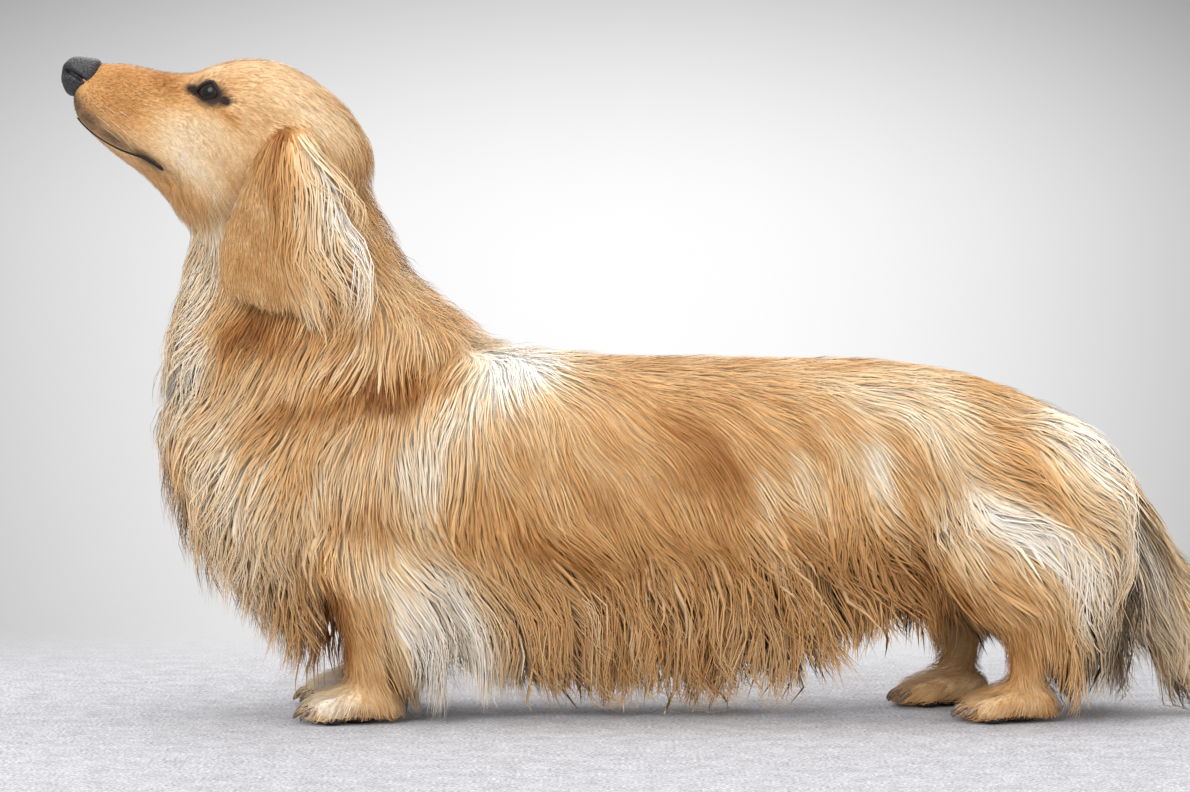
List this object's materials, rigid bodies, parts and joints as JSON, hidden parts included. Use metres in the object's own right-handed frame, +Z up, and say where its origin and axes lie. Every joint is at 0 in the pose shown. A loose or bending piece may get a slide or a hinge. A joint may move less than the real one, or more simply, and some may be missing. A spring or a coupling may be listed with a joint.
{
  "type": "dachshund",
  "caption": "Life-size still model of a long-haired dachshund that stands side-on with its head raised and its feathered tail down.",
  "frame": {"origin": "on the floor under the middle of the whole animal", "axes": "+Z up, -X towards the nose, -Y towards the animal's left side, which the picture shows"},
  "size_m": [0.7579, 0.1598, 0.3941],
  "materials": {
    "coat": "long soft wavy hair, golden with cream feathering",
    "nose_leather": "pebbled and slightly moist",
    "eye": "wet dark brown",
    "claw": "smooth horn"
  },
  "bodies": {
    "root": {"head": "coat", "lower_jaw": "coat", "nose": "nose_leather", "eye_left": "eye", "eye_right": "eye", "ear_left": "coat", "ear_right": "coat", "neck": "coat", "chest": "coat", "loin": "coat", "rump": "coat", "tail_root": "coat", "tail_tip": "coat", "foreleg_left": "coat", "foreleg_left_paw": "coat", "foreleg_left_claw_1": "claw", "foreleg_left_claw_2": "claw", "foreleg_left_claw_3": "claw", "foreleg_left_claw_4": "claw", "foreleg_right": "coat", "foreleg_right_paw": "coat", "foreleg_right_claw_1": "claw", "foreleg_right_claw_2": "claw", "foreleg_right_claw_3": "claw", "foreleg_right_claw_4": "claw", "hindleg_left": "coat", "hindleg_left_paw": "coat", "hindleg_left_claw_1": "claw", "hindleg_left_claw_2": "claw", "hindleg_left_claw_3": "claw", "hindleg_left_claw_4": "claw", "hindleg_right": "coat", "hindleg_right_paw": "coat", "hindleg_right_claw_1": "claw", "hindleg_right_claw_2": "claw", "hindleg_right_claw_3": "claw", "hindleg_right_claw_4": "claw"}
  },
  "joints": []
}
